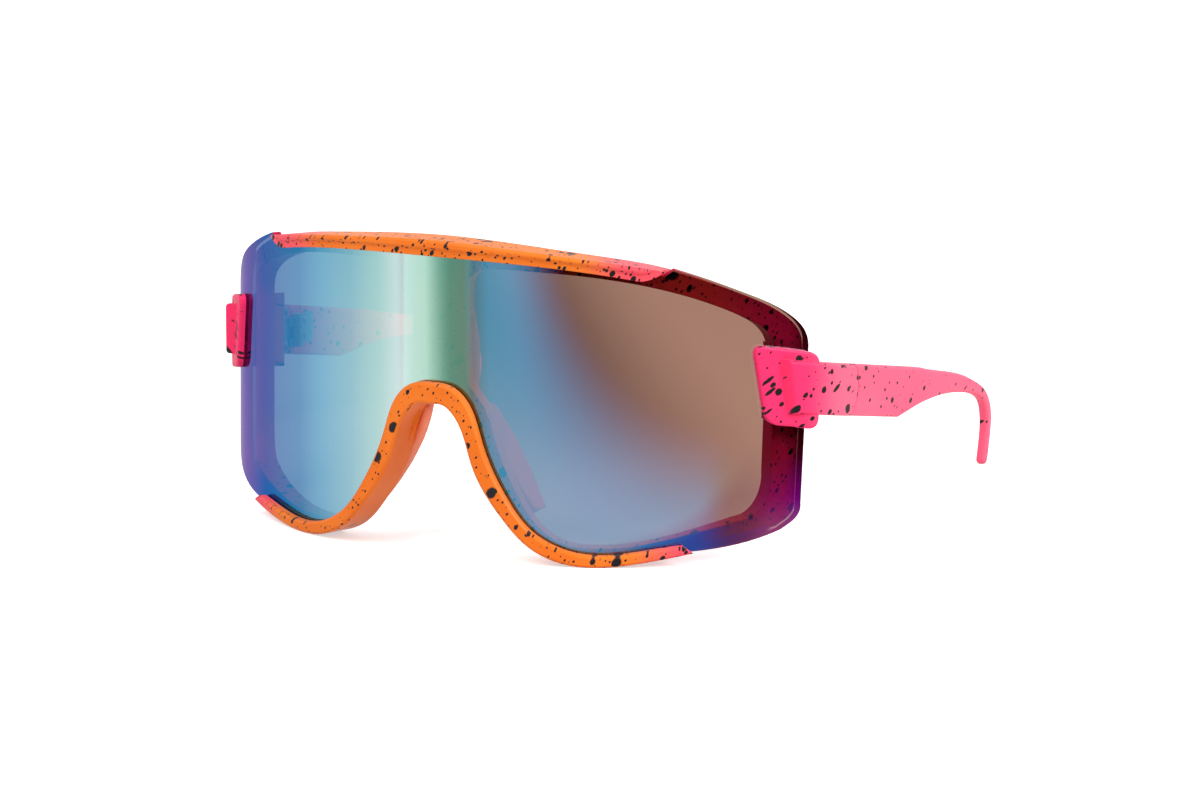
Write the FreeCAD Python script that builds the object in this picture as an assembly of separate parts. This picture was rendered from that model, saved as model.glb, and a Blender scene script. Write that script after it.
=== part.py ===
import FreeCAD, Part
import math
import os

# Shield sunglasses. One cylindrical lens sits in front of a moulded frame with two eye windows,
# held by a lip along the brow, a lip round the nose and two endpieces that clasp its sides.
# X points to the wearer's left, Y back along the temples and Z up. All sizes are in millimetres.

Vector = FreeCAD.Vector

# Lens
lens_radius = 83.0
lens_thickness = 2.0
lens_half_arc = 83.9
lens_clearance = 0.1
lip_gap = 0.35

# Front frame
front_height = 69.0
frame_depth = 4.0
lip_height = 2.0
lip_overlap = 1.1
lip_chamfer = 0.5
brow_lip_heights = [3.5, 3.0, 2.8, 2.9]
brow_end_rises = [0, 0.15, 1.0, 2.6]
bead_height = 1.5
bead_step = 0.7
nose_flange_depth = 4.2
nose_flange_thickness = 1.8
nose_splay_degrees = 11.5
bridge_rib_depth = 4.6
bridge_rib_round = 0.6

# Nose pads
pad_wall = 1.2
pad_clearance = 0.1
pad_depth = 6.2

# Endpieces
plate_thickness = 1.5
plate_wrap = 2.1
plate_width = 16.5
plate_lean = 3.4
plate_above = 1.8
plate_below = 3.45
plate_corner = 3.0
plate_round = 0.6
jaw_thickness = 2.2
jaw_reach = 8.6
lens_edge_gap = 0.2
stub_length = 19.4
facet_inset = 8.7
facet_slant = 1.7
facet_height = 2.5

# Temples
arm_stand_off = 3.9
arm_thickness = 3.8
arm_height = 11.6
arm_slope_degrees = 10.3
arm_round = 0.9
temple_reach = 95.6
hook_run = 55.9
step_lead = 14.4
tail_thickness = 2.0
tail_inset = 4.7
seam_gap = 0.25
seam_top_lead = 1.6
seam_bottom_lead = 3.8

# Hinges
leaf_thickness = 1.0
leaf_length = 7.0
leaf_height = 7.0
leaf_corner = 1.2
knuckle_radius = 1.4
knuckle_gap = 0.15
hinge_gap = 0.35
pin_radius = 0.65
pin_clearance = 0.05
pin_head_radius = 1.15
pin_head_height = 0.7
hinge_drop = 0.4

# Small screws
leaf_screw_radius = 0.5
leaf_screw_head_radius = 0.95
leaf_screw_head_height = 0.5
leaf_screw_bite = 2.2
leaf_screw_spacing = 3.6
end_screw_radius = 0.7
end_screw_head_radius = 1.4
end_screw_head_height = 0.8
end_screw_spacing = 8.0
end_screw_inset = 4.0
end_screw_bite = 1.0
screw_clearance = 0.05

# One overrun serves every cut, wedges start this far from the lens axis, and edges count as
# lying on a tube within the tolerance
overrun = 5.0
wedge_core = 19.0
tolerance = 0.01

# Outlines on the lens front, as shares of lens_half_arc and front_height, from the middle outwards
brow_top_shares = [(0, 1), (0.238, 0.985), (0.429, 0.960), (0.525, 0.9425)]
brow_end_arc_shares = [0.525, 0.553, 0.577, 0.605]
nose_lip_shares = [(0.653, 0.066), (0.540, 0.048), (0.425, 0.037), (0.338, 0.059), (0.261, 0.116),
                   (0.209, 0.197), (0.139, 0.370), (0.092, 0.508), (0.052, 0.545), (0, 0.553)]
nose_end_tip_share = (0.694, 0.029)
beyond_front_shares = (1.06, 1.08, -0.06)
lens_notch_shares = [(0.598, 0.911), (0.624, 0.932)]
lens_side_shares = [
    [(0.624, 0.932), (0.704, 0.901), (0.802, 0.857), (0.946, 0.771), (0.993, 0.709), (1, 0.673)],
    [(1, 0.673), (0.987, 0.171)],
    [(0.987, 0.171), (0.980, 0.136), (0.959, 0.114), (0.928, 0.094)],
]
lens_low_shares = [(0.928, 0.094), (0.700, 0.044)]
nose_leg_shares = [(0.204, 0.130), (0.114, 0.304), (0.063, 0.458)]
frame_shares = [
    [(0, 1), (0.238, 0.985), (0.429, 0.960), (0.608, 0.925), (0.799, 0.850), (0.944, 0.765),
     (0.990, 0.706), (0.997, 0.671)],
    [(0.997, 0.671), (0.984, 0.171)],
    [(0.984, 0.171), (0.977, 0.140), (0.957, 0.119), (0.927, 0.099)],
    [(0.927, 0.099), (0.727, 0.054), (0.540, 0.013), (0.418, 0), (0.337, 0.014), (0.263, 0.058),
     *nose_leg_shares, (0.030, 0.487), (0, 0.487)],
]
window_shares = [
    [(0.079, 0.579), (0.079, 0.847)],
    [(0.079, 0.847), (0.091, 0.888), (0.122, 0.910), (0.167, 0.915), (0.369, 0.906),
     (0.524, 0.882), (0.679, 0.836), (0.830, 0.765), (0.887, 0.723), (0.908, 0.689),
     (0.914, 0.652)],
    [(0.914, 0.652), (0.908, 0.268)],
    [(0.908, 0.268), (0.899, 0.197), (0.877, 0.157), (0.846, 0.133)],
    [(0.846, 0.133), (0.673, 0.086), (0.511, 0.052), (0.435, 0.048), (0.365, 0.055),
     (0.287, 0.104), (0.232, 0.191), (0.190, 0.287), (0.157, 0.394), (0.124, 0.490),
     (0.093, 0.536), (0.079, 0.579)],
]
bridge_rib_shares = [(0.068, 0.510), (0.068, 0.840)]
rib_taper_share = 0.45
nose_end_shares = (0.45, 0.55)
nose_middle_share = 1.3
bead_floor_share = 0.7

# Height of the arm at the seam, and the hook's outlines as shares of hook_run and of the arm's top
# height where the hook starts
arm_top_share = 0.5755
hook_outer_shares = [(0, 1), (0.509, 0.804), (0.769, 0.662), (0.930, 0.525),
                     (0.997, 0.358), (0.988, 0.202), (0.954, 0.037)]
hook_tip_shares = [(0.954, 0.037), (0.930, 0), (0.899, 0.022)]
hook_inner_shares = [(0.899, 0.022), (0.925, 0.171), (0.933, 0.319), (0.901, 0.444),
                     (0.814, 0.540), (0.626, 0.630), (0.233, 0.730), (-0.053, 0.742)]
bend_start_share = 0.269
tail_round_share = 0.45

# Radii about the lens axis
lens_back_radius = lens_radius - lens_thickness
seat_radius = lens_back_radius - lens_clearance
frame_back_radius = seat_radius - frame_depth
groove_radius = lens_radius + lip_gap
lip_radius = groove_radius + lip_height
plate_radius = groove_radius + plate_thickness
jaw_front_radius = frame_back_radius - lens_clearance
jaw_back_radius = jaw_front_radius - jaw_thickness
plate_middle_radius = (groove_radius + plate_radius) / 2

# Places of the arms and hinges
edge_angle = lens_half_arc / lens_radius
edge_x = lens_radius * math.sin(edge_angle)
edge_y = lens_radius - lens_radius * math.cos(edge_angle)
arm_outer = edge_x + arm_stand_off
arm_inner = arm_outer - arm_thickness
arm_slope = math.tan(math.radians(arm_slope_degrees))
seam_y = edge_y + stub_length
seam_top_y = seam_y - seam_top_lead
seam_bottom_y = seam_y - seam_bottom_lead
arm_top_height = arm_top_share * front_height
plate_end = lens_half_arc + plate_wrap
hook_y = seam_y + temple_reach - hook_run
hinge_x = arm_inner - hinge_gap - knuckle_radius
hinge_y = seam_y + seam_gap / 2
hinge_z = arm_top_height - arm_height / 2 - hinge_drop


class Bend(list):
    """Three poles of a rounded corner."""


def arm_top(y):
    """Height of the arm's upper edge, which falls towards the ear."""
    return arm_top_height - (y - seam_top_y) * arm_slope


def arm_bottom(y):
    """Height of the arm's lower edge, in front of the step."""
    return arm_top(y) - arm_height


def scaled(run):
    """Turn shares of the front into lengths along the lens arc and heights."""
    return [(arc * lens_half_arc, height * front_height) for arc, height in run]


def sized(runs):
    return [scaled(run) for run in runs]


def mirrored(run):
    """The same run on the other side, walked the other way."""
    return type(run)((-arc, height) for arc, height in reversed(run))


def both_sides(runs):
    """Close a half outline that starts and ends on the middle line."""
    first, *middle, last = runs
    upper = mirrored(first)[:-1] + first
    lower = last + mirrored(last)[1:]
    other = [mirrored(run) for run in reversed(middle)]
    return [upper, *middle, lower, *other]


def shifted(run, amount):
    """Move a run sideways, to the left of its direction. Points on the middle line stay on it."""
    moved = []
    for index, (a, b) in enumerate(run):
        before = run[max(index - 1, 0)]
        after = run[min(index + 1, len(run) - 1)]
        along = (after[0] - before[0], after[1] - before[1])
        length = math.hypot(*along)
        sideways = amount * along[1] / length if a else 0
        moved.append((a - sideways, b + amount * along[0] / length))
    return moved


def grown(runs, amount):
    """Move a closed clockwise outline outwards."""
    points = [point for run in runs for point in run[:-1]]
    count = len(points)
    moved = {}
    for index, (a, b) in enumerate(points):
        before = points[index - 1]
        after = points[(index + 1) % count]
        along = (after[0] - before[0], after[1] - before[1])
        length = math.hypot(*along)
        moved[(a, b)] = (a - amount * along[1] / length, b + amount * along[0] / length)
    return [[moved[point] for point in run] for run in runs]


def rounded(corners, radius):
    """Close a polygon with rounded corners."""
    cuts = []
    for index, (a, b) in enumerate(corners):
        ends = []
        for c, d in (corners[index - 1], corners[(index + 1) % len(corners)]):
            reach = radius / math.hypot(c - a, d - b)
            ends.append((a + reach * (c - a), b + reach * (d - b)))
        cuts.append((ends[0], (a, b), ends[1]))
    runs = []
    for index, cut in enumerate(cuts):
        runs.append(Bend(cut))
        runs.append([cut[-1], cuts[(index + 1) % len(cuts)][0]])
    return runs


def edge(run, place):
    """One edge through the points of a run: a line, a rounded corner or a smooth curve."""
    vectors = [place(point) for point in run]
    if len(run) == 2:
        return Part.LineSegment(*vectors).toShape()
    if isinstance(run, Bend):
        corner = Part.BezierCurve()
        corner.setPoles(vectors)
        return corner.toShape()
    stations = [0.0]
    for (a, b), (c, d) in zip(run, run[1:]):
        stations.append(stations[-1] + math.hypot(c - a, d - b))
    curve = Part.BSplineCurve()
    curve.interpolate(Points=vectors, Parameters=stations)
    return curve.toShape()


def wire(runs, place):
    return Part.Wire([edge(run, place) for run in runs])


def wedge(runs):
    """A solid whose walls all point at the lens axis, cut to an outline drawn on the lens front."""
    far = plate_radius + overrun

    def placed(distance):
        def place(point):
            return Vector(distance * math.tan(point[0] / lens_radius), lens_radius - distance, point[1])
        return place

    return Part.makeLoft([wire(runs, placed(wedge_core)), wire(runs, placed(far))], True, True)


def shell(inner, outer, low=-front_height):
    """A tall tube about the lens axis, from a height upwards."""
    base = Vector(0, lens_radius, low)
    height = 2 * front_height - low
    return Part.makeCylinder(outer, height, base).cut(Part.makeCylinder(inner, height, base))


def side_prism(runs, low, high):
    """Extrude a side view, drawn in Y and Z, from one X to another."""
    face = Part.Face(wire(runs, lambda point: Vector(low, point[0], point[1])))
    return face.extrude(Vector(high - low, 0, 0))


def plan_prism(runs, low, high):
    """Extrude a top view, drawn in X and Y, from one Z to another."""
    face = Part.Face(wire(runs, lambda point: Vector(point[0], point[1], low)))
    return face.extrude(Vector(0, 0, high - low))


def polygon(points):
    return [[a, b] for a, b in zip(points, points[1:] + points[:1])]


def on_lens(radius, arc, height):
    """A point at an arc length along the lens front, taken to another radius."""
    angle = arc / lens_radius
    return Vector(radius * math.sin(angle), lens_radius - radius * math.cos(angle), height)


def rod(radius, start, end):
    along = end - start
    return Part.makeCylinder(radius, along.Length, start, along)


def other_side(shape):
    return shape.mirror(Vector(0, 0, 0), Vector(1, 0, 0))


def tidy(shape):
    """One clean solid out of a boolean result."""
    return shape.removeSplitter().Solids[0]


def edges_at(shape, radius):
    """The edges that lie on a tube about the lens axis."""
    samples = 7
    found = []
    for candidate in shape.Edges:
        points = candidate.discretize(samples)
        spans = [math.hypot(point.x, point.y - lens_radius) for point in points]
        if max(abs(span - radius) for span in spans) < tolerance:
            found.append(candidate)
    return found


# Screws through the endpiece, frame and lens
def end_screw_line(height):
    return lambda radius: on_lens(radius, lens_half_arc - end_screw_inset, height)


def end_screw_heights():
    arc = lens_half_arc - end_screw_inset
    middle = (plate_top(arc) + plate_bottom(arc)) / 2
    return [middle - end_screw_spacing / 2, middle + end_screw_spacing / 2]


def end_screw_holes(radius):
    holes = []
    for height in end_screw_heights():
        point = end_screw_line(height)
        holes.append(rod(radius, point(jaw_back_radius - overrun), point(groove_radius + end_screw_bite)))
    return holes


def end_screws():
    solids = []
    for height in end_screw_heights():
        point = end_screw_line(height)
        seat = jaw_back_radius - screw_clearance
        crown = seat - end_screw_head_height
        shank = rod(end_screw_radius, point(crown), point(groove_radius + end_screw_bite))
        head = rod(end_screw_head_radius, point(crown), point(seat))
        solids.append(tidy(shank.fuse(head)))
    return Part.makeCompound(solids)


# Lens
def brow_lip():
    """Lower edge of the brow lip, at its own heights below the frame's upper edge."""
    return [(arc, height - drop) for (arc, height), drop in zip(scaled(brow_top_shares), brow_lip_heights)]


def brow_end():
    """The end of the brow lip, which sweeps up past the frame's upper edge."""
    start = brow_lip()[-1][1]
    return [(arc * lens_half_arc, start + rise) for arc, rise in zip(brow_end_arc_shares, brow_end_rises)]


def bare_outline():
    """The lens that shows: above the nose lip, below the brow lip and all of its sides."""
    side, top, bottom = beyond_front_shares
    beyond = [(brow_end_arc_shares[-1], top), (side, top), (side, bottom),
              (nose_end_tip_share[0], bottom), nose_end_tip_share, nose_lip_shares[0]]
    corners = brow_end()[-1:] + scaled(beyond)
    straights = [[a, b] for a, b in zip(corners, corners[1:])]
    return both_sides([brow_lip(), brow_end(), *straights, scaled(nose_lip_shares)])


def lens_outline():
    """The lens itself, which reaches under both lips."""
    top = shifted(brow_lip(), lip_overlap)[:-1] + scaled(lens_notch_shares[:1])
    bottom = scaled(lens_low_shares) + shifted(scaled(nose_lip_shares), lip_overlap)[1:]
    return both_sides([top, scaled(lens_notch_shares), *sized(lens_side_shares), bottom])


def shield_lens():
    blank = wedge(lens_outline()).common(shell(lens_back_radius, lens_radius))
    holes = end_screw_holes(end_screw_radius + screw_clearance)
    return tidy(blank.cut(holes + [other_side(hole) for hole in holes]))


# Front frame
def nose_band(inside, outside):
    """A strip along one leg of the nose arch, from inside to outside of the rim's lower edge."""
    leg = scaled(nose_leg_shares)
    inner = shifted(leg, inside)
    outer = shifted(leg, -outside)[::-1]
    return [inner, [inner[-1], outer[0]], outer, [outer[-1], inner[0]]]


def nose_side(depth):
    """Side view of what stands behind a nose leg, deepest at middle height."""
    heights = [height for arc, height in scaled(nose_leg_shares)]
    margin = nose_flange_thickness + pad_wall + pad_clearance
    high = max(heights) + margin
    low = min(heights) - margin
    start = lens_radius - frame_back_radius
    upper = (start + nose_end_shares[0] * depth, high)
    middle = (start + nose_middle_share * depth, (high + low) / 2)
    lower = (start + nose_end_shares[1] * depth, low)
    return [[upper, middle, lower], [lower, (0, low)], [(0, low), (0, high)], [(0, high), upper]]


def nose_form(inside, outside, depth):
    """A curved strip behind one nose leg, which leans away from the nose towards the face."""
    front = frame_back_radius + frame_depth / 2
    back = frame_back_radius - 2 * pad_depth
    splay = math.tan(math.radians(nose_splay_degrees))

    def placed(distance):
        lean = (front - distance) * splay
        return lambda point: Vector(point[0] + lean, lens_radius - distance, point[1])

    runs = nose_band(inside, outside)
    strip = Part.makeLoft([wire(runs, placed(back)), wire(runs, placed(front))], True, True)
    return strip.common(side_prism(nose_side(depth), 0, lens_half_arc))


def bridge_rib():
    """A rib that stiffens the bridge from behind and runs out towards the brow."""
    (half_width, low), (half_width, high) = scaled(bridge_rib_shares)
    start = lens_radius - frame_back_radius
    front = start - frame_depth / 2
    back = start + bridge_rib_depth
    taper = low + rib_taper_share * (high - low)
    side = polygon([(front, low), (back, low), (back, taper), (start, high), (front, high)])
    rib = side_prism(side, -half_width, half_width)
    rear_edges = [candidate for candidate in rib.Edges if candidate.BoundBox.YMax > start + bridge_rib_round
                  and candidate.BoundBox.XMax - candidate.BoundBox.XMin < half_width]
    return rib.makeFillet(bridge_rib_round, rear_edges)


def front_frame():
    blank = wedge(both_sides(sized(frame_shares))).common(shell(frame_back_radius, lip_radius))
    bare_front = wedge(bare_outline()).common(shell(seat_radius, lip_radius + overrun))
    groove = wedge(grown(lens_outline(), lens_clearance)).common(shell(seat_radius, groove_radius))
    bead_tube = shell(lip_radius - bead_step, lip_radius + overrun, bead_floor_share * front_height)
    bead = wedge(grown(bare_outline(), bead_height)).common(bead_tube)
    window = wedge(sized(window_shares))
    body = tidy(blank.cut([bare_front, groove, bead, window, other_side(window)]))
    long_edges = [candidate for candidate in edges_at(body, lip_radius) if candidate.Length > front_height]
    body = body.makeChamfer(lip_chamfer, long_edges)
    holes = end_screw_holes(end_screw_radius + screw_clearance)
    flange = nose_form(0, nose_flange_thickness, nose_flange_depth)
    body = body.cut(holes + [other_side(hole) for hole in holes])
    return tidy(body.fuse([flange, other_side(flange), bridge_rib()]))


# Nose pads
def nose_pad():
    """A soft sleeve that slips over the flange from behind."""
    reach = pad_clearance + pad_wall
    sleeve = nose_form(reach, nose_flange_thickness + reach, pad_depth)
    sleeve = sleeve.common(shell(frame_back_radius / 2, frame_back_radius - pad_clearance))
    slot = nose_form(pad_clearance, nose_flange_thickness + pad_clearance, nose_flange_depth + pad_clearance)
    return tidy(sleeve.cut(slot))


# Endpieces
def plate_top(arc):
    """Height of the plate's upper edge, which slopes like the arm."""
    return arm_top(edge_y) + plate_above + (plate_end - arc) * arm_slope


def plate_bottom(arc):
    return arm_bottom(edge_y) - plate_below + (plate_end - arc) * arm_slope


def plate_outline():
    inner_top = plate_end - plate_width
    inner_bottom = inner_top + plate_lean
    corners = [
        (inner_top, plate_top(inner_top)),
        (plate_end, plate_top(plate_end)),
        (plate_end, plate_bottom(plate_end)),
        (inner_bottom, plate_bottom(inner_bottom)),
    ]
    return rounded(corners, plate_corner)


def band_of_front(low_arc, high_arc):
    """A strip of the front between two arc lengths, taller than the front."""
    low = -front_height
    high = 2 * front_height
    return wedge(polygon([(low_arc, low), (low_arc, high), (high_arc, high), (high_arc, low)]))


def seam_run(gap):
    """The bulging end of the endpiece, from its top down, or the temple's matching end."""
    middle_height = arm_top(seam_top_y) - arm_height / 2
    return [
        (seam_top_y + gap, arm_top(seam_top_y)),
        (seam_y + gap, middle_height),
        (seam_bottom_y + gap, arm_bottom(seam_bottom_y)),
    ]


def facet_front():
    """Where the raised facet starts, inside the plate."""
    return on_lens(plate_middle_radius, lens_half_arc - facet_inset, 0)


def stub_side():
    """Side view of the arm's front length, whose slanted front end is the raised facet."""
    seam = seam_run(0)
    top_y = facet_front().y
    bottom_y = top_y + facet_slant
    top = (top_y, arm_top(top_y))
    bottom = (bottom_y, arm_bottom(bottom_y))
    return [[top, seam[0]], seam, [seam[-1], bottom], [bottom, top]]


def stub_plan():
    """Top view of the arm's front length, whose outer face bends in over the plate and whose root
    reaches into the room that is cut for the lens later."""
    wall_arc = (lens_half_arc + lens_edge_gap + plate_end) / 2
    front = facet_front()
    facet_x = math.sqrt(plate_radius ** 2 - (lens_radius - front.y) ** 2) + facet_height
    bend_y = on_lens(plate_middle_radius, wall_arc, 0).y
    root_radius = arm_inner / math.sin(wall_arc / lens_radius)
    root = on_lens(root_radius, wall_arc, 0)
    front_root = on_lens(root_radius, lens_half_arc - facet_inset, 0)
    straight_y = seam_y - knuckle_radius - leaf_length
    rear_y = seam_y + overrun
    return [
        [(front_root.x, front_root.y), (front.x, front.y)],
        [(front.x, front.y), (facet_x, front.y)],
        Bend([(facet_x, front.y), (arm_outer, bend_y), (arm_outer, straight_y)]),
        [(arm_outer, straight_y), (arm_outer, rear_y)],
        [(arm_outer, rear_y), (arm_inner, rear_y)],
        [(arm_inner, rear_y), (root.x, root.y)],
        [(root.x, root.y), (front_root.x, front_root.y)],
    ]


def stub():
    """The arm's front length, rounded along its outer face."""
    side = side_prism(stub_side(), 0, arm_outer + overrun)
    body = tidy(side.common(plan_prism(stub_plan(), 0, front_height)))
    met = {}
    for face in body.Faces:
        low_u, high_u, low_v, high_v = face.ParameterRange
        normal = face.normalAt((low_u + high_u) / 2, (low_v + high_v) / 2)
        if normal.x > abs(normal.y) and normal.x > abs(normal.z):
            for candidate in face.Edges:
                met.setdefault(candidate.hashCode(), []).append(candidate)
    outer = [found[0] for found in met.values() if len(found) == 1]
    long_edges = [candidate for candidate in outer if candidate.BoundBox.YMin < seam_bottom_y - tolerance]
    return tidy(body.makeFillet(arm_round, long_edges))


def endpiece():
    blank = wedge(plate_outline()).common(shell(jaw_back_radius, plate_radius))
    blank = blank.makeFillet(plate_round, edges_at(blank, plate_radius))
    lens_end = lens_half_arc + lens_edge_gap
    lens_room = band_of_front(0, lens_end).common(shell(jaw_front_radius, groove_radius))
    jaw_room = band_of_front(0, plate_end - jaw_reach).common(shell(jaw_back_radius - overrun, groove_radius))
    body = blank.fuse(stub()).cut([lens_room, jaw_room])
    return tidy(body.cut(end_screw_holes(end_screw_radius + screw_clearance) + leaf_screw_holes(-1)))


# Hinges, with the front leaf on side -1 of the pin and the temple leaf on side 1
def leaf_span(side):
    """Where a leaf's plate starts and ends along Y."""
    near = hinge_y + side * (knuckle_radius + hinge_gap)
    return near, near + side * leaf_length


def leaf_screw_places(side):
    near, far = leaf_span(side)
    offset = leaf_screw_spacing / 2
    return [((near + far) / 2, hinge_z - offset), ((near + far) / 2, hinge_z + offset)]


def leaf_screw_holes(side):
    radius = leaf_screw_radius + screw_clearance
    bottom = arm_inner + leaf_screw_bite + screw_clearance
    return [rod(radius, Vector(hinge_x, y, z), Vector(bottom, y, z)) for y, z in leaf_screw_places(side)]


def leaf_screws(side):
    seat = arm_inner - leaf_thickness
    solids = []
    for y, z in leaf_screw_places(side):
        shank = rod(leaf_screw_radius, Vector(seat - leaf_screw_head_height, y, z),
                    Vector(arm_inner + leaf_screw_bite, y, z))
        head = rod(leaf_screw_head_radius, Vector(seat - leaf_screw_head_height, y, z), Vector(seat, y, z))
        solids.append(tidy(shank.fuse(head)))
    return Part.makeCompound(solids)


def knuckle_spans(side):
    """Heights of the knuckles on one leaf: two on the front, one between them on the temple."""
    bottom = hinge_z - leaf_height / 2
    height = (leaf_height - 2 * knuckle_gap) / 3
    pitch = height + knuckle_gap
    levels = [0, 2] if side < 0 else [1]
    return [(bottom + level * pitch, bottom + level * pitch + height) for level in levels]


def hinge_leaf(side):
    near, far = leaf_span(side)
    low = hinge_z - leaf_height / 2
    high = hinge_z + leaf_height / 2
    first, last = sorted((near, far))
    corners = [(first, low), (first, high), (last, high), (last, low)]
    plate = side_prism(rounded(corners, leaf_corner), arm_inner - leaf_thickness, arm_inner)
    pieces = []
    for bottom, top in knuckle_spans(side):
        barrel = rod(knuckle_radius, Vector(hinge_x, hinge_y, bottom), Vector(hinge_x, hinge_y, top))
        inner_end = near + side * leaf_corner
        tab_first, tab_last = sorted((hinge_y, inner_end))
        tab = Part.makeBox(arm_inner - hinge_gap - hinge_x, tab_last - tab_first, top - bottom,
                           Vector(hinge_x, tab_first, bottom))
        pieces += [barrel, tab]
    bore = rod(pin_radius + pin_clearance, Vector(hinge_x, hinge_y, low - overrun),
               Vector(hinge_x, hinge_y, high + overrun))
    return tidy(plate.fuse(pieces).cut([bore] + leaf_screw_holes(side)))


def hinge_screw():
    low = hinge_z - leaf_height / 2
    high = hinge_z + leaf_height / 2
    shank = rod(pin_radius, Vector(hinge_x, hinge_y, low), Vector(hinge_x, hinge_y, high + pin_head_height))
    head = rod(pin_head_radius, Vector(hinge_x, hinge_y, high), Vector(hinge_x, hinge_y, high + pin_head_height))
    return tidy(shank.fuse(head))


# Temples
def hook_points(shares):
    return [(hook_y + back * hook_run, height * arm_top(hook_y)) for back, height in shares]


def temple_side():
    """Side view: a deep arm, a step below it and a hook that drops behind the ear."""
    seam = seam_run(seam_gap)[::-1]
    outer = hook_points(hook_outer_shares)
    tip = hook_points(hook_tip_shares)
    inner = hook_points(hook_inner_shares)
    step = (hook_y - step_lead, arm_bottom(hook_y - step_lead))
    return [seam, [seam[-1], outer[0]], outer, tip, inner, [inner[-1], step], [step, seam[0]]]


def temple_plan():
    """Top view: straight beside the head, then bending in and thinning towards the tip."""
    start_y = seam_bottom_y - overrun
    bend_y = seam_y + bend_start_share * temple_reach
    end_y = seam_y + temple_reach + overrun
    middle_y = (bend_y + end_y) / 2
    tail_outer = arm_outer - tail_inset
    tail_inner = tail_outer - tail_thickness
    return [
        [(arm_inner, start_y), (arm_outer, start_y)],
        [(arm_outer, start_y), (arm_outer, bend_y)],
        Bend([(arm_outer, bend_y), (arm_outer, middle_y), (tail_outer, end_y)]),
        [(tail_outer, end_y), (tail_inner, end_y)],
        Bend([(tail_inner, end_y), (arm_inner, middle_y), (arm_inner, bend_y)]),
        [(arm_inner, bend_y), (arm_inner, start_y)],
    ]


def temple():
    side = side_prism(temple_side(), 0, arm_outer + overrun)
    plan = plan_prism(temple_plan(), -overrun, front_height)
    body = tidy(side.common(plan))
    seam_end = seam_y + seam_gap + knuckle_gap
    long_edges = [candidate for candidate in body.Edges if candidate.BoundBox.YMax > seam_end]
    round_radius = min(arm_round, tail_round_share * tail_thickness)
    return tidy(body.makeFillet(round_radius, long_edges).cut(leaf_screw_holes(1)))


def build():
    """Every piece by name, with the origin under the middle of the whole."""
    pieces = {"front_frame": front_frame(), "shield_lens": shield_lens()}
    sided = {
        "nose_pad": nose_pad(),
        "endpiece": endpiece(),
        "endpiece_screws": end_screws(),
        "front_hinge_leaf": hinge_leaf(-1),
        "front_leaf_screws": leaf_screws(-1),
        "temple_hinge_leaf": hinge_leaf(1),
        "temple_leaf_screws": leaf_screws(1),
        "hinge_screw": hinge_screw(),
        "temple": temple(),
    }
    for name, shape in sided.items():
        pieces["left_" + name] = shape
        pieces["right_" + name] = other_side(shape)
    box = Part.makeCompound(list(pieces.values())).optimalBoundingBox()
    shift = Vector(0, -(box.YMin + box.YMax) / 2, -box.ZMin)
    for shape in pieces.values():
        shape.translate(shift)
    return pieces, shift


os.makedirs("parts", exist_ok=True)
pieces, shift = build()
for name, shape in pieces.items():
    shape.exportStep("parts/" + name + ".step")
    state = "valid" if shape.isValid() else "broken"
    print(name, len(shape.Solids), "solids", round(shape.Volume, 1), "mm3", state)
print("hinge pins at", round(hinge_x, 3), round(hinge_y + shift.y, 3), round(hinge_z + shift.z, 3))
print("moved by", round(shift.y, 3), round(shift.z, 3))
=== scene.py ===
"""Looks of the shield sunglasses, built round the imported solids, in the solids' own frame.

Objects, lamps and the camera are in metres. Inside the materials, lengths are in millimetres.
"""
import math

import bmesh
import bpy
from mathutils import Matrix, Vector


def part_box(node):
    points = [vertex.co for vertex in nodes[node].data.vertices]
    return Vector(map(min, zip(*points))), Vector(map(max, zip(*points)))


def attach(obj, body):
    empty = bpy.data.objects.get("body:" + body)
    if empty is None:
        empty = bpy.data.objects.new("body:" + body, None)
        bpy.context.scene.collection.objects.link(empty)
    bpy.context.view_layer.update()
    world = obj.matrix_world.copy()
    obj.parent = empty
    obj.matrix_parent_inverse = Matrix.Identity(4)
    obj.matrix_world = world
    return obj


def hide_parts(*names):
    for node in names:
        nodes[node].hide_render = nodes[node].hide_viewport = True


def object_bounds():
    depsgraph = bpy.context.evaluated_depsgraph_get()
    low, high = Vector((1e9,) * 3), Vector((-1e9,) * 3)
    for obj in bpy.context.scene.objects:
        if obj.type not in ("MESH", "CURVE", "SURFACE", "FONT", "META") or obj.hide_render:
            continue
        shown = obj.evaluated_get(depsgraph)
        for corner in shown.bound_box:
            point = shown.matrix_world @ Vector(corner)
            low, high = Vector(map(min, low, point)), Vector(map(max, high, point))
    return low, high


MM = 0.001

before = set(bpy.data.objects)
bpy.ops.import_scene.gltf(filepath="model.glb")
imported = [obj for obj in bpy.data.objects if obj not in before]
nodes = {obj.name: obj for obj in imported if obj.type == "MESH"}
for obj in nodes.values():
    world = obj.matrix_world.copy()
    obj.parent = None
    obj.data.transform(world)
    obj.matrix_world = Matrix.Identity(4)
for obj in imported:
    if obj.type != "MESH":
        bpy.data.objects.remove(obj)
cad_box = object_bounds()
scene = bpy.context.scene

# Places taken from the solids, the lens as a part of a tube
apex_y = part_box("shield_lens")[0].y
base_z = cad_box[0].z
lens_radius = 83.0
axis_y = apex_y / MM + lens_radius

# Camera, fitted to the photograph
camera_lens = 135.0
camera_sensor = 36.0
camera_clip = (0.01, 20.0)
camera_right = Vector((0.90198, 0.43151, 0.01559))
camera_up = Vector((-0.09682, 0.16693, 0.98121))
camera_back = Vector((0.42079, -0.88653, 0.19234))
camera_from_apex = Vector((437.96, -839.73, 220.19)) * MM

# Stage, with the floor's glow for camera rays and for rays that come through the lens
floor_half = 3.0
floor_colour = 0.80
floor_roughness = 0.9
paper_glow = 0.54
floor_glow = 0.42
world_strength = 0.55

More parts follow.
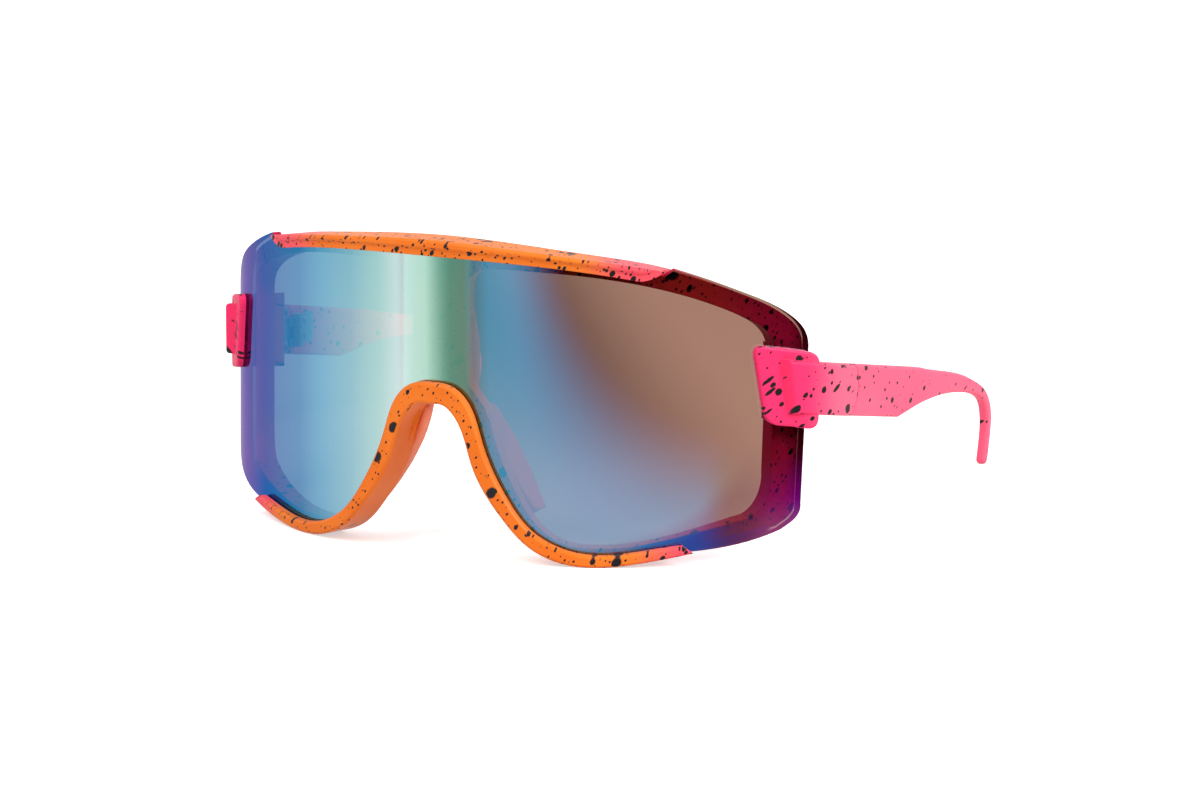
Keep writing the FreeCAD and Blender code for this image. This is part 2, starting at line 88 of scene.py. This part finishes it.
# Lamps, each with its name, place, size and power
lamp_target = Vector((0.0, 0.0, 0.03))
LAMPS = (
    ("key", Vector((1.3, 0.05, 0.8)), 0.6, 17.0),
    ("top", Vector((-0.2, -0.9, 1.2)), 0.9, 11.0),
)

# Painted light that the lens mirrors: the floor glows as a bright table for mirror rays, with levels by
# direction in degrees, where it ends beside the lens, and a painted shade that dims it beside the lens
table_levels = ((-179, 0.75), (-120, 0.82), (-62, 0.965), (-30, 1.0), (90, 1.0), (179, 0.89))
table_slant = 0.2
table_fade = 140.0
green_end = 50.0
green_pull = 62.0
violet_end = 58.0
violet_pull = 17.0
beside_front = (15.0, -8.0)
beside_back = (-85.0, -55.0)
beside_out = (0.0, 30.0)
beside_shade_level = 0.5

# The shade on the floor that is seen through the lens, a slanted band that deepens behind the glasses
shade_x = -0.838
shade_ahead = 0.546
shade_offset = 65.8
shade_rise = (-35.0, 30.0)
shade_fall = (45.0, 85.0)
shade_reach = 110.0

# Lens, with arcs to either side of the middle. A line is two places along it and the values there
coat_depth = (0.9, 0.3)
cover_slopes = (0.155, 0.195)
cover_facing = 0.45
cover_aside = 0.76
# Painted shade over the bridge: where the coat is made fuller, and how full
bridge_arcs = (7.0, 11.0)
painted_bridge_shade = 0.83
tint_slopes = (0.16, 0.42)
cut_facing = (0.75, 0.45)
# Painted shade band on the back of the lens, before the frame's lower border
border_line = (43.0, 71.0, 3.6, 9.2)
border_fade = (0.1, -0.3)
border_start = (38.0, 48.0)
border_end = (81.0, 56.0)
side_line = (11.8, 46.3, 82.56, 83.65)
side_fade = (-0.10, 0.05)
lower_line = (58.7, 77.9, 3.0, 6.5)
lower_fade = (1.3, 1.1)
lower_start = (56.0, 58.0)
lower_end = (77.5, 75.0)
lens_ior = 1.02
lamp_light_passed = 0.7

# Surfaces
frame_roughness = 0.40
endpiece_roughness = 0.42
temple_roughness = 0.45
pad_roughness = 0.62
steel_roughness = (0.24, 0.40)
smudge_roughness = (0.025, 0.05)
plastic_specular = 0.22
bevel_samples = 6
grain_height = 0.04

# Frame, with arcs to either side of the middle: where its colours meet, and the lean of its flat map
pink_arcs = (32.0, 45.0)
magenta_arcs = (62.0, 80.0)
low_heights = (26.0, 14.0)
low_shift = 12.0
cloud_shift = 5.0
radius_along = 0.3
radius_up = 0.85

# Side pieces: where the plate's pink ends, and the direction in plan and the lean of their flat map
plate_end = (-42.0, -28.0)
map_out = 0.53
map_back = 0.85
lean_out = -0.25
lean_back = 0.16
lean_across = 0.40
lying_tilt = 0.75

# Ink
frame_slant = math.radians(62)
side_slant = math.radians(31)
brow_heights = (48.0, 60.0)
brow_amounts = (0.90, 1.12)
hinge_places = (-15.0, 25.0)
hinge_amounts = (1.25, 1.0)
bare_facing = (0.45, 0.65)
drop_core = 0.72
seed_ratio = 2.7
wobble = (0.30, 0.30, 0.0)
wobble_scale = 1.1

# Soft pads
pad_voxel = 0.28 * MM
pad_smoothing = 0.5
pad_rounds = 10

# Colours, linear
ORANGE = (0.88, 0.190, 0.012)
ORANGE_DEEP = (0.84, 0.162, 0.006)
PINK = (0.95, 0.078, 0.108)
MAGENTA = (0.92, 0.020, 0.260)
PLATE_PINK = (0.94, 0.024, 0.130)
ARM_PINK = (0.97, 0.112, 0.207)
ARM_PINK_DEEP = (0.96, 0.096, 0.188)
SALMON = (0.95, 0.270, 0.130)
SALMON_DEEP = (0.90, 0.220, 0.090)
INK = (0.010, 0.010, 0.012)
STEEL = (0.62, 0.61, 0.60)
STEEL_DARK = (0.48, 0.47, 0.46)
LENS_BROWN = (0.270, 0.078, 0.043)
LENS_GREY = (0.180, 0.160, 0.160)
LENS_SHEEN = (0.55, 0.50, 0.95)
EDGE_RED = (0.420, 0.010, 0.050)
PAINTED_SHADE_BLUE = (0.015, 0.030, 0.330)
WHITE = (1.0, 1.0, 1.0)
BLACK = (0.0, 0.0, 0.0)

# The mirror coat's colour, from seen straight on to seen from the side: a blue coat whose
# bright mint stops are a painted highlight and whose dark green stops are a painted shade
COAT_WITH_PAINTED_LIGHT = (
    (0.000, (0.126, 0.554, 0.970)),
    (0.065, (0.112, 0.558, 0.876)),
    (0.088, (0.134, 0.282, 0.212)),
    (0.107, (0.117, 0.325, 0.234)),
    (0.119, (0.197, 0.467, 0.351)),
    (0.140, (0.538, 0.862, 0.728)),
    (0.165, (0.627, 0.930, 0.834)),
    (0.185, (0.762, 1.000, 1.000)),
    (0.225, (0.465, 0.830, 0.810)),
    (0.294, (0.241, 0.605, 0.728)),
    (0.384, (0.106, 0.459, 0.706)),
    (0.460, (0.022, 0.291, 0.582)),
    (0.640, (0.022, 0.224, 0.538)),
    (0.740, (0.155, 0.240, 0.515)),
    (0.900, (0.260, 0.205, 0.485)),
)

# Layers of ink: pitch, largest radius, power that makes small drops common, slant, stretch and seed
FRAME_INK = (
    (1.2, 0.32, 1.5, frame_slant, 1.5, 3.0),
    (2.6, 0.66, 1.8, frame_slant, 1.6, 17.0),
    (6.2, 1.35, 1.8, frame_slant, 1.3, 31.0),
)
ENDPIECE_INK = (
    (2.4, 0.45, 1.8, side_slant, 1.3, 5.0),
    (3.4, 0.95, 1.2, side_slant, 1.4, 23.0),
    (4.2, 0.66, 1.0, side_slant, 3.4, 61.0),
    (7.0, 1.40, 1.5, side_slant, 1.1, 43.0),
)
TEMPLE_INK = (
    (2.6, 0.42, 1.8, side_slant, 1.2, 9.0),
    (5.2, 0.75, 1.5, side_slant, 1.5, 29.0),
    (6.0, 0.42, 1.1, side_slant, 4.5, 53.0),
)

STEEL_PIECES = ("endpiece_screws", "front_hinge_leaf", "front_leaf_screws",
                "temple_hinge_leaf", "temple_leaf_screws", "hinge_screw")


def rgba(colour):
    """A colour with its alpha. A socket stays as it is."""
    return (*colour, 1.0) if isinstance(colour, tuple) and len(colour) == 3 else colour


class Graph:
    """Short calls for a material's nodes."""

    def __init__(self, name):
        self.material = bpy.data.materials.new(name)
        self.material.use_nodes = True
        self.tree = self.material.node_tree
        self.shader = self.tree.nodes["Principled BSDF"]

    def add(self, kind, inputs=(), **settings):
        node = self.tree.nodes.new(kind)
        for key, value in settings.items():
            setattr(node, key, value)
        for key, value in dict(inputs).items():
            self.put(node.inputs[key], value)
        return node

    def put(self, socket, value):
        if isinstance(value, bpy.types.NodeSocket):
            self.tree.links.new(value, socket)
        else:
            socket.default_value = value

    def set(self, name, value):
        self.put(self.shader.inputs[name], value)

    def math(self, operation, *values):
        node = self.add("ShaderNodeMath", operation=operation)
        for index, value in enumerate(values):
            self.put(node.inputs[index], value)
        return node.outputs[0]

    def vector(self, operation, *values):
        node = self.add("ShaderNodeVectorMath", operation=operation)
        for index, value in enumerate(values):
            self.put(node.inputs[index], value)
        return node.outputs[0]

    def product(self, first, *others):
        for other in others:
            first = self.math("MULTIPLY", first, other)
        return first

    def rest(self, share):
        """What a share leaves of one."""
        return self.math("SUBTRACT", 1.0, share)

    def total(self, *terms):
        """Sum of values, each with its weight."""
        result = None
        for value, weight in terms:
            part = self.math("MULTIPLY", value, weight)
            result = part if result is None else self.math("ADD", result, part)
        return result

    def span(self, value, low, high, first=0.0, last=1.0, smooth=True):
        """Map a value from one span to another, without going past its ends."""
        node = self.add("ShaderNodeMapRange", {"Value": value, "From Min": low, "From Max": high,
                                               "To Min": first, "To Max": last})
        node.interpolation_type = "SMOOTHSTEP" if smooth else "LINEAR"
        return node.outputs[0]

    def beyond(self, value, along, line):
        """How far a value lies beyond a line."""
        return self.math("SUBTRACT", value, self.span(along, *line, smooth=False))

    def mix(self, share, first, second):
        node = self.add("ShaderNodeMix", data_type="RGBA")
        self.put(node.inputs[0], share)
        self.put(node.inputs[6], rgba(first))
        self.put(node.inputs[7], rgba(second))
        return node.outputs[2]

    def ramp(self, value, stops):
        node = self.add("ShaderNodeValToRGB", {"Fac": value})
        elements = node.color_ramp.elements
        while len(elements) < len(stops):
            elements.new(1.0)
        for element, (place, colour) in zip(elements, stops):
            element.position = place
            element.color = rgba(colour)
        return node.outputs[0]

    def noise(self, vector, scale, detail=2.0, rough=0.5):
        node = self.add("ShaderNodeTexNoise", {"Vector": vector, "Scale": scale,
                                               "Detail": detail, "Roughness": rough})
        return node.outputs["Fac"]

    def place(self):
        """Position on the piece, in millimetres."""
        node = self.add("ShaderNodeVectorMath", operation="SCALE")
        self.put(node.inputs[0], self.add("ShaderNodeTexCoord").outputs["Object"])
        self.put(node.inputs["Scale"], 1.0 / MM)
        return node.outputs[0]

    def normal(self):
        return self.add("ShaderNodeTexCoord").outputs["Normal"]

    def parts(self, vector):
        return self.add("ShaderNodeSeparateXYZ", {"Vector": vector}).outputs

    def joined(self, x, y, z=0.0):
        return self.add("ShaderNodeCombineXYZ", {"X": x, "Y": y, "Z": z}).outputs[0]

    def tube(self, place):
        """Arc length, height and distance from the lens axis."""
        x, y, z = self.parts(place)
        ahead = self.math("SUBTRACT", axis_y, y)
        arc = self.product(self.math("ARCTAN2", x, ahead), lens_radius)
        radius = self.math("SQRT", self.math("ADD", self.product(x, x), self.product(ahead, ahead)))
        return arc, z, radius

    def facing(self, place, across):
        """How far a surface faces the lens axis, or the way round it, from 0 to 1."""
        parts = self.parts(place)
        x = parts[0]
        ahead = self.math("SUBTRACT", axis_y, parts[1])
        direction = self.joined(ahead, x) if across else self.joined(x, self.product(ahead, -1.0))
        node = self.add("ShaderNodeVectorMath", operation="DOT_PRODUCT")
        self.put(node.inputs[0], self.vector("NORMALIZE", direction))
        self.put(node.inputs[1], self.normal())
        return self.math("ABSOLUTE", node.outputs["Value"])

    def finish(self, place, grain, strength, edge_radius):
        """Fine moulded grain, and edges that look a little rounded."""
        edges = self.add("ShaderNodeBevel", {"Radius": edge_radius * MM}, samples=bevel_samples)
        bump = self.add("ShaderNodeBump", {"Height": self.noise(place, grain), "Strength": strength,
                                           "Distance": grain_height * MM, "Normal": edges.outputs[0]})
        self.set("Normal", bump.outputs[0])


def drops(graph, flat, amount, pitch, largest, power, turn, stretch, seed):
    """Ink drops on a flat map: each cell holds a drop, most of them small, pulled out along a slant."""
    turned = graph.add("ShaderNodeVectorRotate", {"Vector": flat, "Angle": -turn}, rotation_type="Z_AXIS")
    offset = (seed, seed_ratio * seed, 0.0)
    moved = graph.vector("MULTIPLY_ADD", turned.outputs[0], (1.0 / stretch, 1.0, 1.0), offset)
    cells = graph.add("ShaderNodeTexVoronoi", {"Vector": moved, "Scale": 1.0 / pitch},
                      voronoi_dimensions="2D")
    chance = graph.parts(cells.outputs["Color"])[0]
    widest = graph.product(amount, largest / pitch)
    radius = graph.product(graph.math("POWER", chance, power), widest)
    return graph.span(cells.outputs["Distance"], radius, graph.product(radius, drop_core))


def ink(graph, flat, amount, layers):
    """All the ink on a piece, from bare to black. The amount makes the drops larger or smaller."""
    cloud = graph.add("ShaderNodeTexNoise", {"Vector": flat, "Scale": wobble_scale, "Detail": 1.0})
    rough = graph.vector("MULTIPLY_ADD", cloud.outputs["Color"], wobble, flat)
    covered = None
    for layer in layers:
        found = drops(graph, rough, amount, *layer)
        covered = found if covered is None else graph.math("MAXIMUM", covered, found)
    return covered


def plastic(graph, colour, specks, place, rough):
    """Satin moulded plastic with ink on it."""
    graph.set("Base Color", graph.mix(specks, colour, INK))
    cloud = graph.noise(place, scale=3.0, detail=3.0)
    graph.set("Roughness", graph.span(cloud, 0.2, 0.8, rough - 0.05, rough + 0.06, smooth=False))
    graph.set("Specular IOR Level", plastic_specular)
    graph.finish(place, grain=14.0, strength=0.10, edge_radius=0.35)
    return graph.material


def frame_material():
    """Orange round the middle, pink and then magenta towards both ends, and further out below than above.
    Faces that look the way round the lens axis stay bare of ink."""
    graph = Graph("frame_plastic")
    place = graph.place()
    arc, height, radius = graph.tube(place)
    cloud = graph.noise(place, scale=0.07)
    body = graph.mix(graph.span(cloud, 0.35, 0.65), ORANGE, ORANGE_DEEP)
    low = graph.span(height, *low_heights, 0.0, low_shift)
    side = graph.total((graph.math("ABSOLUTE", arc), 1.0), (cloud, cloud_shift), (low, -1.0))
    ends = graph.mix(graph.span(side, *magenta_arcs), PINK, MAGENTA)
    colour = graph.mix(graph.span(side, *pink_arcs), body, ends)
    along = graph.total((arc, 1.0), (radius, radius_along))
    up = graph.total((height, 1.0), (radius, radius_up))
    amount = graph.span(height, *brow_heights, *brow_amounts)
    specks = ink(graph, graph.joined(along, up), amount, FRAME_INK)
    bare = graph.span(graph.facing(place, True), *bare_facing)
    return plastic(graph, colour, graph.product(specks, graph.rest(bare)), place, frame_roughness)


def side_map(graph, place):
    """A flat map of a side piece: along the plate or the arm and up it, or across it where it lies flat."""
    x, y, z = graph.parts(place)
    out = graph.math("ABSOLUTE", x)
    along = graph.total((out, map_out), (y, map_back))
    up = graph.total((z, 1.0), (out, lean_out), (y, lean_back))
    across = graph.total((out, map_back), (y, -map_out), (z, lean_across))
    tilt = graph.math("ABSOLUTE", graph.parts(graph.normal())[2])
    lying = graph.math("GREATER_THAN", tilt, lying_tilt)
    return graph.joined(along, graph.total((up, graph.rest(lying)), (across, lying)))


def endpiece_material():
    """Deep pink on the plate, the arm's pink behind it."""
    graph = Graph("endpiece_plastic")
    place = graph.place()
    colour = graph.mix(graph.span(graph.parts(place)[1], *plate_end), PLATE_PINK, ARM_PINK)
    specks = ink(graph, side_map(graph, place), 1.0, ENDPIECE_INK)
    return plastic(graph, colour, specks, place, endpiece_roughness)


def temple_material():
    """Pink, with larger drops near the hinge."""
    graph = Graph("temple_plastic")
    place = graph.place()
    colour = graph.mix(graph.span(graph.noise(place, scale=0.05), 0.3, 0.7), ARM_PINK, ARM_PINK_DEEP)
    amount = graph.span(graph.parts(place)[1], *hinge_places, *hinge_amounts)
    specks = ink(graph, side_map(graph, place), amount, TEMPLE_INK)
    return plastic(graph, colour, specks, place, temple_roughness)


def pad_material():
    graph = Graph("pad_rubber")
    place = graph.place()
    cloud = graph.span(graph.noise(place, scale=0.25, detail=3.0), 0.3, 0.7)
    graph.set("Base Color", graph.mix(cloud, SALMON, SALMON_DEEP))
    graph.set("Roughness", pad_roughness)
    graph.finish(place, grain=6.0, strength=0.15, edge_radius=0.30)
    return graph.material


def steel_material():
    graph = Graph("brushed_steel")
    place = graph.place()
    brushed = graph.vector("MULTIPLY", place, (1.0, 0.15, 9.0))
    lines = graph.noise(brushed, scale=2.4, detail=4.0, rough=0.6)
    graph.set("Base Color", graph.mix(lines, STEEL_DARK, STEEL))
    graph.set("Metallic", 1.0)
    graph.set("Roughness", graph.span(lines, 0.3, 0.7, *steel_roughness, smooth=False))
    graph.finish(place, grain=20.0, strength=0.10, edge_radius=0.10)
    return graph.material


def lens_border_shade(graph, side, height):
    """A painted shade: the band of the lens before the frame's lower border, for the frame lying in shade
    behind it.
    """
    below = graph.span(graph.beyond(height, side, border_line), *border_fade)
    return graph.product(below, graph.span(side, *border_start), graph.span(side, *border_end))


def lens_sliver(graph, side, height):
    """The sliver of the lens past the frame's edge, at its sides and below."""
    outside = graph.span(graph.beyond(side, height, side_line), *side_fade)
    below = graph.span(graph.beyond(height, side, lower_line), *lower_fade)
    below = graph.product(below, graph.span(side, *lower_start), graph.span(side, *lower_end))
    return graph.math("MAXIMUM", outside, below)


def lens_material():
    """A mirror coat on the front of a brown see-through sheet. The coat turns from blue to mint, and back
    to blue and violet, as it is seen more and more from the side; its bright mint is a painted highlight
    and its dark green before the mint a painted shade. It lets less through there, and over the bridge it
    is fuller, a painted shade for the frame behind. The cut edge and the back of the sliver past the frame
    are red, and the back has a blue band before the frame's lower border, a painted shade for the frame
    behind it. The lamps' light passes more freely than the view."""
    graph = Graph("lens_mirror_coat")
    place = graph.place()
    arc, height, radius = graph.tube(place)
    side = graph.math("ABSOLUTE", arc)
    slope = graph.add("ShaderNodeLayerWeight", {"Blend": 0.5}).outputs["Facing"]
    face = graph.span(radius, lens_radius - coat_depth[0], lens_radius - coat_depth[1], smooth=False)
    back = graph.rest(face)
    border = graph.product(lens_border_shade(graph, side, height), back)
    sliver = graph.product(lens_sliver(graph, side, height), back)
    cut = graph.span(graph.facing(place, False), *cut_facing)
    rim = graph.math("MAXIMUM", graph.math("MAXIMUM", cut, sliver), border)
    sheet = graph.rest(rim)
    front = graph.product(face, sheet)

    tint = graph.mix(graph.span(slope, *tint_slopes), LENS_BROWN, LENS_GREY)
    # The back's blue band is a painted shade, deep blue like the coat's reflection over the shaded frame
    edge = graph.mix(border, EDGE_RED, PAINTED_SHADE_BLUE)
    graph.set("Base Color", graph.mix(rim, graph.mix(front, tint, graph.ramp(slope, COAT_WITH_PAINTED_LIGHT)), edge))
    graph.set("Metallic", front)
    graph.set("Transmission Weight", graph.math("SUBTRACT", sheet, front))
    graph.set("IOR", lens_ior)
    graph.set("Specular Tint", rgba(LENS_SHEEN))
    smudge = graph.span(graph.noise(place, scale=0.09, detail=3.0), 0.3, 0.7, *smudge_roughness)
    graph.set("Roughness", graph.product(front, smudge))

    side_cover = graph.span(slope, *cover_slopes, cover_facing, cover_aside)
    # Over the bridge the coat is made fuller, a painted shade for the frame behind the lens
    bridge_shade_cover = graph.span(side, *bridge_arcs, painted_bridge_shade, 0.0)
    cover = graph.math("MAXIMUM", side_cover, bridge_shade_cover)
    shown = graph.math("ADD", graph.product(front, graph.math("SUBTRACT", cover, 1.0)), 1.0)
    paths = graph.add("ShaderNodeLightPath").outputs
    passed = graph.product(paths["Is Shadow Ray"], lamp_light_passed)
    graph.set("Alpha", graph.product(shown, graph.rest(passed)))
    return graph.material


def dress(node, material):
    node.data.materials.clear()
    node.data.materials.append(material)


def nose_pad(side, material):
    """A soft moulded pad in the room of its solid."""
    source = nodes[side + "_nose_pad"]
    pad = bpy.data.objects.new(side + "_soft_nose_pad", source.data.copy())
    scene.collection.objects.link(pad)
    remesh = pad.modifiers.new("remesh", "REMESH")
    remesh.mode = "VOXEL"
    remesh.voxel_size = pad_voxel
    smooth = pad.modifiers.new("smooth", "SMOOTH")
    smooth.factor = pad_smoothing
    smooth.iterations = pad_rounds
    depsgraph = bpy.context.evaluated_depsgraph_get()
    shaped = bpy.data.meshes.new_from_object(pad.evaluated_get(depsgraph))
    pad.modifiers.clear()
    pad.data = shaped
    shaped.polygons.foreach_set("use_smooth", [True] * len(shaped.polygons))
    dress(pad, material)
    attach(pad, "front")
    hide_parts(side + "_nose_pad")


def painted_mirror_table(graph, x, ahead):
    """Colour and level of the painted light that the lens mirrors, a glowing table, dimmed beside the
    glasses by a painted shade.
    """
    turn = graph.span(graph.math("ARCTAN2", x, ahead), -math.pi, math.pi, smooth=False)
    stops = [(0.5 + degrees / 360.0, (level,) * 3) for degrees, level in table_levels]
    # Painted shade beside the glasses, where the floor near the lens lies in the glasses' shade
    beside = graph.product(graph.span(ahead, *beside_front), graph.span(ahead, *beside_back),
                           graph.span(x, *beside_out))
    dimmed = graph.span(beside, 0.0, 1.0, 1.0, beside_shade_level, smooth=False)
    level = graph.product(graph.parts(graph.ramp(turn, stops))[0], dimmed)
    ends = []
    for end, pull in ((violet_end, violet_pull), (green_end, green_pull)):
        along = graph.total((x, 1.0), (ahead, table_slant), (beside, pull))
        ends.append(graph.span(along, end, end + table_fade, 1.0, 0.0))
    violet, green = ends
    return graph.joined(violet, green, violet), level


def shade_behind(graph, x, ahead):
    """The shade behind the glasses, for rays that come through the lens."""
    across = graph.math("ADD", graph.total((x, shade_x), (ahead, shade_ahead)), shade_offset)
    band = graph.product(graph.span(across, *shade_rise), graph.span(across, *shade_fall, 1.0, 0.0))
    behind = graph.math("DIVIDE", graph.math("MINIMUM", ahead, 0.0), shade_reach)
    return graph.product(band, graph.rest(graph.math("EXPONENT", behind)))


def floor_material():
    """White paper. Mirrored, it glows as a painted bright table that ends beside the glasses and is dimmed
    beside them by a painted shade, and through the lens it shows a painted shade behind the glasses. Both
    keep their place on the floor."""
    graph = Graph("floor_white")
    paths = graph.add("ShaderNodeLightPath").outputs
    through = paths["Is Transmission Ray"]
    mirrored = graph.product(paths["Is Glossy Ray"], graph.rest(through))
    parts = graph.parts(graph.place())
    x = parts[0]
    ahead = graph.math("SUBTRACT", apex_y / MM, parts[1])
    table, level = painted_mirror_table(graph, x, ahead)
    shade = graph.product(shade_behind(graph, x, ahead), through)
    lit = graph.product(through, graph.rest(shade))
    glow = graph.total((paths["Is Camera Ray"], paper_glow), (lit, floor_glow), (level, mirrored))
    dark = graph.math("MAXIMUM", mirrored, shade)
    graph.set("Base Color", graph.mix(dark, (floor_colour,) * 3, BLACK))
    graph.set("Roughness", floor_roughness)
    graph.set("Specular IOR Level", 0.0)
    graph.set("Emission Color", graph.mix(mirrored, WHITE, table))
    graph.set("Emission Strength", glow)
    return graph.material


def studio_floor():
    mesh = bpy.data.meshes.new("floor")
    work = bmesh.new()
    bmesh.ops.create_grid(work, x_segments=1, y_segments=1, size=floor_half)
    work.to_mesh(mesh)
    work.free()
    floor = bpy.data.objects.new("floor", mesh)
    floor.location.z = base_z
    scene.collection.objects.link(floor)
    dress(floor, floor_material())


def studio_world():
    """White to the camera, in mirrors and through glass, and dimmer as a light."""
    world = bpy.data.worlds.new("studio")
    scene.world = world
    world.use_nodes = True
    tree = world.node_tree
    light = tree.nodes["Background"]
    light.inputs["Color"].default_value = rgba(WHITE)
    paths = tree.nodes.new("ShaderNodeLightPath").outputs
    seen = paths["Is Camera Ray"]
    for name in ("Is Glossy Ray", "Is Transmission Ray"):
        either = tree.nodes.new("ShaderNodeMath")
        either.operation = "MAXIMUM"
        tree.links.new(seen, either.inputs[0])
        tree.links.new(paths[name], either.inputs[1])
        seen = either.outputs[0]
    strength = tree.nodes.new("ShaderNodeMapRange")
    tree.links.new(seen, strength.inputs["Value"])
    strength.inputs["To Min"].default_value = world_strength
    strength.inputs["To Max"].default_value = 1.0
    tree.links.new(strength.outputs[0], light.inputs["Strength"])


def lamp(name, place, size, power):
    light = bpy.data.lights.new(name, "AREA")
    light.shape = "DISK"
    light.size = size
    light.energy = power
    holder = bpy.data.objects.new(name, light)
    holder.location = place
    holder.rotation_mode = "QUATERNION"
    holder.rotation_quaternion = (lamp_target - place).to_track_quat("-Z", "Y")
    scene.collection.objects.link(holder)


def camera():
    data = bpy.data.cameras.new("camera")
    data.lens = camera_lens
    data.sensor_width = camera_sensor
    data.clip_start, data.clip_end = camera_clip
    holder = bpy.data.objects.new("camera", data)
    place = Vector((0.0, apex_y, base_z)) + camera_from_apex
    turn = Matrix((camera_right, camera_up, camera_back)).transposed().to_4x4()
    holder.matrix_world = Matrix.Translation(place) @ turn
    scene.collection.objects.link(holder)
    scene.camera = holder


def main():
    scene.view_settings.view_transform = "Standard"
    plate = endpiece_material()
    arm = temple_material()
    steel = steel_material()
    rubber = pad_material()
    dress(nodes["front_frame"], frame_material())
    dress(nodes["shield_lens"], lens_material())
    for side in ("left", "right"):
        dress(nodes[side + "_endpiece"], plate)
        dress(nodes[side + "_temple"], arm)
        for piece in STEEL_PIECES:
            dress(nodes[side + "_" + piece], steel)
        nose_pad(side, rubber)
    studio_floor()
    studio_world()
    for name, place, size, power in LAMPS:
        lamp(name, place, size, power)
    camera()


main()
